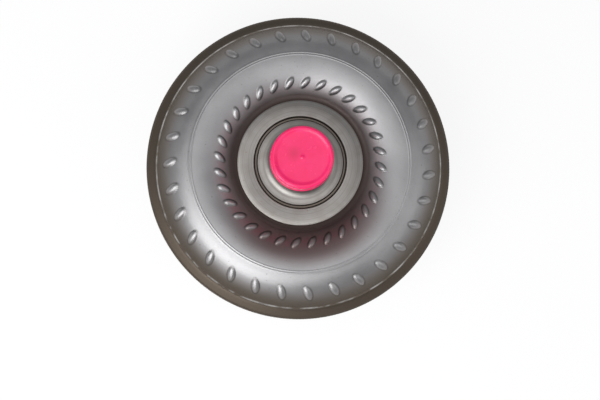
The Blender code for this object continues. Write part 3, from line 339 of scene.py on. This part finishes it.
# Matt dark brown with a short fibrous grain.
lining, tree, shader, place = start_material("paper friction lining, soaked in fluid", 0.0, 0.8)
fibre = noise(tree, place, 0.5 * MM, 4, 0.7)
mottle(tree, shader, fibre, ("3B2818", "5C4029"), (0.65, 0.9), low=0.3)
bump(tree, shader, fibre, 0.04 * MM)
dress(lining, "friction_lining")


# Damper
# A driven plate between two spring retainers, with three stop pins, all blanked from steel plate.
# Six coil springs of dark hardened wire lie in their windows.

# Dark even grey with cloudy scale from hardening.
blanked_steel, tree, shader, place = start_material("blanked steel plate, case-hardened", 1.0, 0.42)
mottle(tree, shader, noise(tree, place, 9 * MM, 4), ("5F5D5C", "7C7A78"), (0.36, 0.52))
bump(tree, shader, noise(tree, place, 0.5 * MM, 3), 0.02 * MM)
dress(blanked_steel, "damper_driven_plate", "front_spring_retainer", "rear_spring_retainer",
      "stop_pin_1", "stop_pin_2", "stop_pin_3")

# Blue-black and fairly glossy, with faint marks from the drawing die.
spring_wire, tree, shader, place = start_material("hardened spring wire, blue-black", 1.0, 0.3)
draw = noise(tree, place, 1.5 * MM, 3)
mottle(tree, shader, draw, ("3E434A", "5A6068"), (0.24, 0.4))
bump(tree, shader, draw, 0.01 * MM)
dress(spring_wire, *[f"damper_spring_{number}" for number in range(1, 7)])


# Turbine
# A pressed shell with rolled-in blades, riveted to a splined hub that is broached and hardened.
# Its blades are thin sheet, brazed to the shell and to their core ring.

dress(pressed_steel, "turbine_shell")

# Grey sheet that turns straw yellow in clouds where it was heated.
blade_steel, tree, shader, place = start_material("thin sheet steel, straw-tinted by brazing", 1.0, 0.34)
mottle(tree, shader, noise(tree, place, 12 * MM, 3), ("8C8883", "9E8E74"), (0.28, 0.44))
bump(tree, shader, noise(tree, place, 0.6 * MM, 2), 0.012 * MM)
dress(blade_steel, "turbine_blades")

# Bright and smooth, with fine lines that run round it.
hardened_steel, tree, shader, place = start_material("hardened steel, ground", 1.0, 0.24)
grind = noise(tree, stretch(tree, place, (1, 1, 6)), 2 * MM, 3)
mottle(tree, shader, grind, ("8A8988", "A9A8A6"), (0.18, 0.32), low=0.3)
bump(tree, shader, grind, 0.006 * MM)
dress(hardened_steel, "turbine_hub")
dress(plated_steel, *[f"turbine_rivet_{number}" for number in range(1, 7)])


# Stator, one-way clutch and bearings
# A die-cast aluminium wheel on a hardened cam race with eight rollers, kept by a side plate and a snap
# ring. It runs on a splined inner race, between two thrust bearings with caged needles.

# Pale matt grey with a fine even grain.
cast_metal, tree, shader, place = start_material("die-cast aluminium, bead-blasted", 1.0, 0.5)
skin = noise(tree, place, 0.8 * MM, 4, 0.7)
mottle(tree, shader, skin, ("A6A7A9", "C3C4C6"), (0.44, 0.6), low=0.3)
bump(tree, shader, skin, 0.04 * MM)
dress(cast_metal, "stator_wheel")
dress(hardened_steel, "clutch_cam_race", "stator_inner_race",
      *[f"clutch_roller_{number}" for number in range(1, 9)],
      *[f"{side}_bearing_{part}" for side in ("rear", "front")
        for part in ("lower_race", "upper_race", "needles")])
dress(blanked_steel, "clutch_side_plate")
dress(spring_wire, "stator_snap_ring")


# Impeller blades
# Thin pressed blades whose tabs sit in the shell's pockets, joined by a core ring and brazed.
# They are the same sheet and heat tint as the turbine's.

dress(blade_steel, "impeller_blades")


# Impeller shell
# Deep-drawn from 3.5 mm sheet: a valley round the hub, a torus-shaped dome and a shoulder at the rim.
# Two rows of ovals are pressed outwards, one row for each end of the blades inside.

# 992 is 31 times 32, so that every oval of either row falls on the columns in the same way.
COLUMNS = 992
# Each row of ovals: how many, where the first one stands, the row's radius, how far the ovals lean from
# the radial direction, half of their length and width, and their height.
OUTER_OVALS = dict(count=31, phase=np.radians(6.2), ring=115.5 * MM, slant=np.radians(24),
                   half=(6.5 * MM, 3.55 * MM), rise=2.5 * MM)
INNER_OVALS = dict(count=32, phase=np.radians(8.0), ring=71.5 * MM, slant=np.radians(-42),
                   half=(5.6 * MM, 2.75 * MM), rise=1.8 * MM)
# Thin ridges that run all round, each with radius, height and width in millimetres: the two rolled lines
# and the shoulder.
RIDGES = ((95.9, 0.28, 0.42), (97.8, 0.28, 0.42), (129.3, 0.50, 0.85))
# The mesh's rows lie closer in bands at the ovals, the lines and the shoulder. Each band has its middle
# radius, half its width and the distance from row to row, in millimetres.
WIDE_ROWS = 2.4
ROW_BANDS = ((71.5, 6.5, 0.85), (115.5, 7, 0.85), (96.5, 1.8, 0.30), (129.3, 1.8, 0.30))


def shell_spacing(radius):
    """Distance from row to row at a radius, both in metres."""
    spacing = np.full_like(radius, WIDE_ROWS)
    for middle, half_width, apart in ROW_BANDS:
        spacing = np.where(np.abs(radius - middle * MM) < half_width * MM, apart, spacing)
    return spacing * MM


def resample(outline, spacing):
    """Points along an outline at a spacing that depends on the radius, both in metres."""
    lengths = np.r_[0, np.cumsum(np.linalg.norm(np.diff(outline, axis=0), axis=1))]
    fine = np.linspace(0, lengths[-1], 6000)
    radius = np.interp(fine, lengths, outline[:, 0])
    height = np.interp(fine, lengths, outline[:, 1])
    count = np.r_[0, np.cumsum(np.diff(fine) / spacing(radius[:-1]))]
    wanted = np.linspace(0, count[-1], int(round(count[-1])) + 1)
    places = np.interp(wanted, count, fine)
    return np.stack([np.interp(places, fine, radius), np.interp(places, fine, height)], axis=-1)


def oval_lift(radius, angle, count, phase, ring, slant, half, rise):
    """Height of a row of pressed ovals. In each oval's own frame, u runs along its long axis and v
    across it. The lift is a full dome, 1 - q^2.8 with q^2 = (u/a)^2 + (v/b)^2, that ends in a crisp foot,
    and it is raised more towards the outer end. Also gives q, the reach from the oval's middle."""
    step = 2 * np.pi / count
    turn = (angle - phase + step / 2) % step - step / 2
    outwards = radius - ring
    sideways = radius * turn
    u = outwards * np.cos(slant) + sideways * np.sin(slant)
    v = -outwards * np.sin(slant) + sideways * np.cos(slant)
    reach = np.sqrt((u / half[0]) ** 2 + (v / half[1]) ** 2)
    return rise * (1 + 0.35 * u / half[0]) * np.clip(1 - reach ** 2.8, 0, 1) ** 0.85, reach


# The face from under the hub through the valley, over the dome and down the rim's cone, then the inside.
shell_face = path(
    (46, 102), (52, 102), arc((57.85, 107.12), 5.12, 270, 315, 8), arc((94, 71), 46, 134.5, 90, 40),
    arc((94, 87), 30, 89, 54, 30), arc((82.21, 70.82), 50, 53.5, 30, 30),
    (129.2, 89.2), (130.2, 88.4), (138.4, 83.0), (139.0, 82.5), (139.2, 82.2),
)
top_rows = resample(shell_face, shell_spacing)
inside_rows = path((136.35, 79.3), (135.2, 79.3), (125.6, 88.2), arc((86, 73), 40.5, 46, 90, 8),
                   arc((86, 87), 26.5, 90, 145, 6), (57.2, 98.5), (46, 98.5))
rows = np.vstack([top_rows, inside_rows])
angle = 2 * np.pi * np.arange(COLUMNS) / COLUMNS
radius = rows[:, :1] + 0 * angle
slope = np.arctan2(-np.gradient(rows[:, 1]), np.gradient(rows[:, 0]))[:, None]
on_top = (np.arange(len(rows)) < len(top_rows))[:, None]
outer_lift, outer_reach = oval_lift(radius, angle, **OUTER_OVALS)
inner_lift, inner_reach = oval_lift(radius, angle, **INNER_OVALS)
lift = outer_lift + inner_lift
for ridge_radius, tall, wide in RIDGES:
    lift = lift + tall * MM * np.exp(-((radius - ridge_radius * MM) / (wide * MM)) ** 2)
lift = np.where(on_top, lift, 0)
height = rows[:, 1:] + lift * np.cos(slope)
radius = radius + lift * np.sin(slope)
shell_points = np.stack([radius * np.cos(angle), radius * np.sin(angle), height], axis=-1)


def ring_mask(tree, radius, inner, outer):
    """1 at the inner radius falling smoothly to 0 at the outer one, in millimetres; swapped, it rises."""
    return add_node(tree, "MapRange", {"Value": radius, "From Min": inner * MM, "From Max": outer * MM,
                                       "To Min": 1.0, "To Max": 0.0},
                    interpolation_type="SMOOTHSTEP").outputs["Result"]


def distance_from(tree, place, point):
    """Distance from a point on the piece, in metres."""
    return add_node(tree, "VectorMath", {0: place, 1: point}, operation="DISTANCE").outputs["Value"]


# Satin drawn steel with an oil film in soft clouds and a few dark specks. Painted shade darkens it towards
# the rim and round the hub, more to one side of the hub, and also stands for browning by the welds; a deeper
# painted shade lies in the valley under the flange. The ovals' tops and the shoulder carry a painted
# highlight, and a thin painted shade lies in the crease at the ovals' foot.
shell_steel, tree, shader, place = start_material("deep-drawn steel, oiled, browned by the welds", 1.0, 0.3)
STAIN_AND_SHADE_MIDDLE = (0.005, -0.062, 0.11)
from_axis = radius_from_axis(tree, place)
cloud = noise(tree, place, 24 * MM, 4)
grain = noise(tree, place, 0.9 * MM, 2, 0.7)
specks = noise(tree, place, 1.8 * MM, 1)
glint_breaks = ramp(tree, noise(tree, place, 14 * MM, 3), 0.42, 0.6, 0, 1)
rim_heat_and_shade = ring_mask(tree, from_axis, 126, 109)
rim_cone = ring_mask(tree, from_axis, 134, 131)
hub_heat_and_shade = ring_mask(tree, from_axis, 57, 70)
valley_shade = ring_mask(tree, from_axis, 57.5, 64)
stain_and_shade = combine(tree, "MULTIPLY", ring_mask(tree, distance_from(tree, place, STAIN_AND_SHADE_MIDDLE), 30, 92),
                ring_mask(tree, from_axis, 79, 97))
shoulder = combine(tree, "MULTIPLY", ring_mask(tree, from_axis, 129.7, 130.7),
                   ring_mask(tree, from_axis, 129.3, 128.4))
oval_reach = add_node(tree, "Attribute", attribute_name="oval_reach").outputs["Fac"]
oval_top_highlight = ramp(tree, oval_reach, 0.95, 0.35, 0, 0.4)
oval_foot_shade = combine(tree, "MULTIPLY", ramp(tree, oval_reach, 0.8, 1.02, 0, 1),
                    ramp(tree, oval_reach, 1.3, 1.08, 0, 0.42))
tone = blend(tree, ramp(tree, cloud, 0.35, 0.7, 0, 1), linear("989798"), linear("A3A2A3"))
# Painted shade that also stands for heat browning: darker towards the rim.
tone = blend(tree, rim_heat_and_shade, tone, linear("5C534A"))
# Painted shade that also stands for heat browning: darker round the hub.
tone = blend(tree, hub_heat_and_shade, tone, linear("7C716D"))
# Painted shade that also stands for a heat stain: darker on one side of the hub.
tone = blend(tree, stain_and_shade, tone, linear("796A69"))
# Painted shade in the valley under the flange.
tone = blend(tree, valley_shade, tone, linear("433936"))
tone = blend(tree, ramp(tree, specks, 0.72, 0.80, 0, 0.4), tone, linear("4A3E36"))
# Painted highlight on the ovals' tops.
tone = blend(tree, oval_top_highlight, tone, linear("B4B3B5"))
# Painted shade in the crease at the ovals' foot.
tone = blend(tree, oval_foot_shade, tone, linear("3C3835"))
# Painted highlight along the shoulder, broken into short glints.
tone = blend(tree, combine(tree, "MULTIPLY", shoulder, glint_breaks), tone, linear("A3A09E"))
tree.links.new(tone, shader.inputs["Base Color"])
rough = combine(tree, "ADD", ramp(tree, cloud, 0.3, 0.7, 0.43, 0.49),
                ramp(tree, grain, 0.3, 0.7, -0.03, 0.04))
rough = ramp(tree, shoulder, 0, 1, rough, 0.16)
rough = ramp(tree, rim_cone, 0, 1, rough, 0.6)
tree.links.new(rough, shader.inputs["Roughness"])
bump(tree, shader, grain, 0.015 * MM)

shell_mesh = make_mesh("impeller_dome", shell_points[::-1], True)
FAR_FROM_OVALS = 2.0
near_oval = np.minimum(np.minimum(outer_reach, inner_reach), FAR_FROM_OVALS)
near_oval = np.where(on_top, near_oval, FAR_FROM_OVALS)
shell_mesh.attributes.new("oval_reach", "FLOAT", "POINT").data.foreach_set("value", near_oval[::-1].ravel())
place_piece("impeller_dome", shell_mesh, shell_steel, "housing", ["impeller_shell"])


# Closure weld
# One bead of filler metal laid all round, joining the cover's wall to the shell's lip.
# It is dark from the heat, with the fine overlapping ripples of the moving arc.

# A ripple is the absolute value of a sine that runs round the bead, leaning with the height. It fades
# to nothing where the bead meets the two sheets.
WELD_COLUMNS, RIPPLE_DEPTH, RIPPLE_TURNS, RIPPLE_LEAN = 1200, 0.10 * MM, 150, 0.72 / MM
RIPPLE_START, RIPPLE_FADE = 138 * MM, 1.8 * MM
weld_section = np.array([(136.95, 79), (138.4, 80.6), (139.3, 81.6), (139.72, 80.6), (139.86, 79.6),
                         (139.86, 78.4), (139.72, 77.4), (139.3, 76.4), (138.4, 77.4)]) * MM
weld_angle = 2 * np.pi * np.arange(WELD_COLUMNS) / WELD_COLUMNS
ripple = RIPPLE_DEPTH * np.abs(np.sin(weld_angle * RIPPLE_TURNS + RIPPLE_LEAN * weld_section[:, 1:]))
bulge = np.clip((weld_section[:, :1] - RIPPLE_START) / RIPPLE_FADE, 0, 1)
weld_radius = weld_section[:, :1] + ripple * bulge
weld_points = np.stack([weld_radius * np.cos(weld_angle), weld_radius * np.sin(weld_angle),
                        weld_section[:, 1:] + 0 * weld_angle], axis=-1)

# Brown-grey and rough, in blotches of scale.
weld_metal, tree, shader, place = start_material("weld bead, dark from heat", 1.0, 0.5)
mottle(tree, shader, noise(tree, place, 5 * MM, 4), ("4A423B", "7B746C"), (0.42, 0.6), low=0.3)
bump(tree, shader, noise(tree, place, 0.6 * MM, 2), 0.03 * MM)
place_piece("rim_weld", make_mesh("rim_weld", weld_points[::-1], True), weld_metal, "housing",
            ["closure_weld"])
dress(weld_metal, "hub_weld")


# Hub
# Forged drive tube with a turned flange, ground where it runs in the pump's bush.
# A narrow groove is cut in the flange's face. Two notches in the tube's end drive the gearbox's pump.

# The bore, the tube's end and outside, the fillet, the groove, the flange and its underside.
hub_outline = path(
    (21, 97.4), (21, 120), (21, 145.8), (22.2, 147), (23.8, 147), (25, 145.8), (25, 130), (25, 118),
    arc((33.5, 117.6), 8.5, 180, 262, 14), (37.8, 108.5), (38.2, 107.9), (39.0, 106.2), (40.3, 106.2),
    (41.3, 107.9), (41.6, 108.4), (42.2, 108.48), (48, 108.3), (55.2, 108.05), (55.8, 107.8), (56, 107.3),
    (56, 102.3), (45.7, 102.3), (45.7, 96.4), (44.3, 96.4), (44.3, 97.4),
)
hub_points = spin(crisp(hub_outline), 256)
NOTCH_HALF_WIDTH, NOTCH_FLOOR = 4.5 * MM, 139 * MM
in_notch = np.abs(hub_points[..., 1]) < NOTCH_HALF_WIDTH
hub_points[..., 2] = np.where(in_notch, np.minimum(hub_points[..., 2], NOTCH_FLOOR), hub_points[..., 2])

# Fine concentric tool marks and wider bands, with darker clouds of old oil and a few specks of rust.
# The groove is painted darker: painted shade in the recess.
hub_steel, tree, shader, place = start_material("turned steel, fine concentric tool marks", 1.0, 0.3,
                                                Anisotropic=0.5)
from_axis = radius_from_axis(tree, place)
marks = tool_marks(tree, from_axis, 0.55 * MM, 3)
bands = tool_marks(tree, from_axis, 2.4 * MM, 2)
cloud = noise(tree, place, 12 * MM, 3)
rust = noise(tree, place, 2.6 * MM, 1)
groove_shade = combine(tree, "MULTIPLY", ring_mask(tree, from_axis, 40.6, 41.6),
                      ring_mask(tree, from_axis, 38.8, 37.9))
tone = blend(tree, ramp(tree, marks, 0.3, 0.7, 0, 1), linear("8A8784"), linear("A29F9B"))
tone = blend(tree, ramp(tree, cloud, 0.4, 0.75, 0, 0.6), tone, linear("837B74"))
tone = blend(tree, ramp(tree, bands, 0.4, 0.65, 0, 0.5), tone, linear("787370"))
tone = blend(tree, ramp(tree, rust, 0.74, 0.80, 0, 0.5), tone, linear("7A5A3C"))
# Painted shade in the groove.
tree.links.new(blend(tree, groove_shade, tone, linear("6A625B")), shader.inputs["Base Color"])
tree.links.new(ramp(tree, marks, 0.3, 0.7, 0.36, 0.52), shader.inputs["Roughness"])
run_round(tree, shader)
bump(tree, shader, marks, 0.01 * MM)
hub_mesh = make_mesh("drive_hub", hub_points, True)
hub_mesh.set_sharp_from_angle(angle=np.radians(35))
place_piece("drive_hub", hub_mesh, hub_steel, "housing", ["impeller_hub"])


# Shipping cap
# A push-on cap of soft pink plastic, moulded through one gate in the middle of its dished top.
# Its round edge catches the light, and its skirt grips the ground tube.

# The gate's nub, the dish, the ridge and the round edge, the skirt with its lip, and the inside.
cap_outline = path(
    (0.001, 148.8), (0.5, 148.75), (1.0, 148.5), (1.6, 148.15), (2.2, 148.0), (4, 147.95), (9, 147.9),
    (15, 147.9), (20.5, 147.95), (21.7, 148.1), (22.7, 148.5), (23.4, 148.85), (24.0, 148.98),
    (24.4, 149.0), arc((24.5, 146.7), 2.3, 85, 0, 12), (26.8, 140), (26.82, 133.6), (27.1, 133.0),
    (27.5, 132.5), (27.5, 131.2), (27.3, 131.0), (25.5, 131.0), (25.3, 131.2), (25.3, 140),
    (25.3, 147.0), (25.0, 147.3), (12, 147.3), (0.001, 147.3),
)

# Saturated pink with a soft gloss and a little light inside it, and a patch of painted shade beside the nub.
cap_plastic, tree, shader, place = start_material(
    "moulded soft plastic, glossy pink", 0.0, 0.22, Subsurface_Weight=0.15, Subsurface_Scale=0.002,
    Subsurface_Radius=(1.0, 0.35, 0.4))
SHADE_PATCH_MIDDLE, SHADE_PATCH_REACH = (-0.007, 0.003, 0.148), 9
drift = noise(tree, place, 9 * MM, 3)
shade_patch = ring_mask(tree, distance_from(tree, place, SHADE_PATCH_MIDDLE), 0, SHADE_PATCH_REACH)
tone = blend(tree, ramp(tree, drift, 0.3, 0.7, 0, 1), linear("EE1C63"), linear("F2256C"))
# Painted shade: a darker patch beside the nub.
tree.links.new(blend(tree, shade_patch, tone, linear("D91A58")), shader.inputs["Base Color"])
tree.links.new(ramp(tree, noise(tree, place, 5 * MM, 2), 0.3, 0.7, 0.20, 0.28), shader.inputs["Roughness"])
bump(tree, shader, noise(tree, place, 4 * MM, 2), 0.01 * MM)
place_piece("end_cap", make_mesh("end_cap", spin(cap_outline, 192)[::-1], False, (0, -1)), cap_plastic,
            "cap", ["shipping_cap"])


# Floor, light and camera
# A plain white floor under the studs, with a soft lamp from the lower left, a broad one above and a weak
# one at the right. The camera looks down on the hub from a little to one side of straight above.

FLOOR_REACH, FLOOR_GLOW = 12, 0.85
floor_mesh = bpy.data.meshes.new("floor")
floor_mesh.from_pydata([(-FLOOR_REACH, -FLOOR_REACH, 0), (FLOOR_REACH, -FLOOR_REACH, 0),
                        (FLOOR_REACH, FLOOR_REACH, 0), (-FLOOR_REACH, FLOOR_REACH, 0)], [], [(0, 1, 2, 3)])
floor = bpy.data.objects.new("floor", floor_mesh)
bpy.context.scene.collection.objects.link(floor)

# Matt white paint. To the camera, and in reflections, most of it is an even white; the rest keeps shadow.
floor_white = bpy.data.materials.new("white studio floor")
floor_white.use_nodes = True
tree = floor_white.node_tree
rays = add_node(tree, "LightPath").outputs
seen = combine(tree, "MAXIMUM", rays["Is Camera Ray"], rays["Is Glossy Ray"])
seen = combine(tree, "MAXIMUM", seen, rays["Is Transmission Ray"])
share = combine(tree, "MULTIPLY", seen, FLOOR_GLOW)
paint = tree.nodes["Principled BSDF"]
paint.inputs["Base Color"].default_value = linear("F4F4F4")
paint.inputs["Roughness"].default_value = 0.9
glow = add_node(tree, "Emission", {"Color": (1, 1, 1, 1), "Strength": 1.0})
both = add_node(tree, "MixShader", {0: share, 1: paint.outputs["BSDF"], 2: glow.outputs["Emission"]})
tree.links.new(both.outputs["Shader"], tree.nodes["Material Output"].inputs["Surface"])
floor_mesh.materials.append(floor_white)

world = bpy.data.worlds.new("studio")
bpy.context.scene.world = world
world.use_nodes = True
world.node_tree.nodes["Background"].inputs["Color"].default_value = (0.37, 0.375, 0.385, 1)


LAMP_AIM = Vector((0, 0, 0.1))


def soft_lamp(name, place, size, energy):
    """A square area lamp that faces the object's middle."""
    data = bpy.data.lights.new(name, "AREA")
    data.size = size
    data.energy = energy
    lamp = bpy.data.objects.new(name, data)
    lamp.location = place
    lamp.rotation_euler = (LAMP_AIM - Vector(place)).to_track_quat("-Z", "Y").to_euler()
    bpy.context.scene.collection.objects.link(lamp)


soft_lamp("key", (-0.72, -0.85, 1.0), 1.2, 17)
soft_lamp("overhead", (-0.25, -0.33, 1.9), 2.0, 12)
soft_lamp("side", (1.3, -0.35, 1.0), 1.2, 4)

# The camera stands at a distance from a point on the axis, tilted from straight above and turned round
# the axis. Its shift puts that point on the pixel where the photograph has it.
TILT, TURN, DISTANCE, FOCAL_PIXELS = np.radians(6.45), np.radians(21.4), 0.75, 811.5
TARGET, TARGET_PIXEL, FRAME_PIXELS, SENSOR_WIDTH = Vector((0, 0, 0.079)), (299.04, 165.7), (600, 400), 36
backwards = Vector((-np.sin(TILT) * np.sin(TURN), -np.sin(TILT) * np.cos(TURN), np.cos(TILT)))
rightwards = Vector((0, 1, 0)).cross(backwards).normalized()
upwards = backwards.cross(rightwards)
camera_data = bpy.data.cameras.new("camera")
camera_data.sensor_width = SENSOR_WIDTH
camera_data.lens = FOCAL_PIXELS * SENSOR_WIDTH / FRAME_PIXELS[0]
camera_data.shift_x = (FRAME_PIXELS[0] / 2 - TARGET_PIXEL[0]) / FRAME_PIXELS[0]
camera_data.shift_y = (TARGET_PIXEL[1] - FRAME_PIXELS[1] / 2) / FRAME_PIXELS[0]
camera = bpy.data.objects.new("camera", camera_data)
axes = Matrix((rightwards, upwards, backwards)).transposed().to_4x4()
camera.matrix_world = Matrix.Translation(TARGET + DISTANCE * backwards) @ axes
bpy.context.scene.collection.objects.link(camera)
bpy.context.scene.camera = camera
bpy.context.scene.view_settings.view_transform = "Standard"
